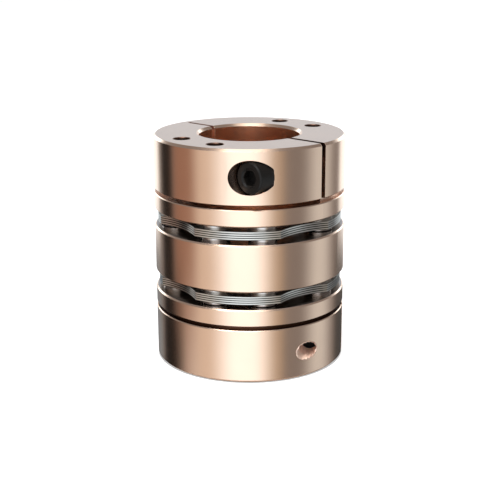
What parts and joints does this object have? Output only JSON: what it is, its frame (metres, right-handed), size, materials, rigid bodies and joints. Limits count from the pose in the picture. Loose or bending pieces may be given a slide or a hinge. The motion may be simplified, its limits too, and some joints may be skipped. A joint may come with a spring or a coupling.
{
  "type": "double disc coupling",
  "caption": "Flexible shaft coupling with a clamping hub at each end, a centre spacer and a pack of steel leaves between each hub and the spacer.",
  "frame": {"origin": "on the shaft axis at the outer face of the lower hub", "axes": "+Z along the shaft axis from the lower hub to the upper hub; -Y is midway between the direction of the upper hub's clamp screw and the front lug of the disc packs"},
  "size_m": [0.082, 0.082, 0.098],
  "materials": {
    "anodised_aluminium": "champagne anodised, finely turned",
    "leaf_steel": "rolled stainless spring steel",
    "collar_steel": "bright plated",
    "black_oxide_steel": "black oxide"
  },
  "bodies": {
    "root": {"upper_hub": "anodised_aluminium", "centre_spacer": "anodised_aluminium", "lower_hub": "anodised_aluminium", "upper_clamp_screw": "black_oxide_steel", "upper_leaf_1": "leaf_steel", "upper_leaf_2": "leaf_steel", "upper_leaf_3": "leaf_steel", "upper_leaf_4": "leaf_steel", "upper_hub_screw_1": "black_oxide_steel", "upper_spacer_screw_1": "black_oxide_steel", "upper_hub_screw_2": "black_oxide_steel", "upper_spacer_screw_2": "black_oxide_steel", "upper_hub_screw_3": "black_oxide_steel", "upper_spacer_screw_3": "black_oxide_steel", "upper_hub_screw_4": "black_oxide_steel", "upper_spacer_screw_4": "black_oxide_steel", "upper_hub_collars": "collar_steel", "upper_hub_washers": "collar_steel", "upper_spacer_collars": "collar_steel", "upper_spacer_washers": "collar_steel", "lower_clamp_screw": "black_oxide_steel", "lower_leaf_1": "leaf_steel", "lower_leaf_2": "leaf_steel", "lower_leaf_3": "leaf_steel", "lower_leaf_4": "leaf_steel", "lower_hub_screw_1": "black_oxide_steel", "lower_spacer_screw_1": "black_oxide_steel", "lower_hub_screw_2": "black_oxide_steel", "lower_spacer_screw_2": "black_oxide_steel", "lower_hub_screw_3": "black_oxide_steel", "lower_spacer_screw_3": "black_oxide_steel", "lower_hub_screw_4": "black_oxide_steel", "lower_spacer_screw_4": "black_oxide_steel", "lower_hub_collars": "collar_steel", "lower_hub_washers": "collar_steel", "lower_spacer_collars": "collar_steel", "lower_spacer_washers": "collar_steel"}
  },
  "joints": []
}
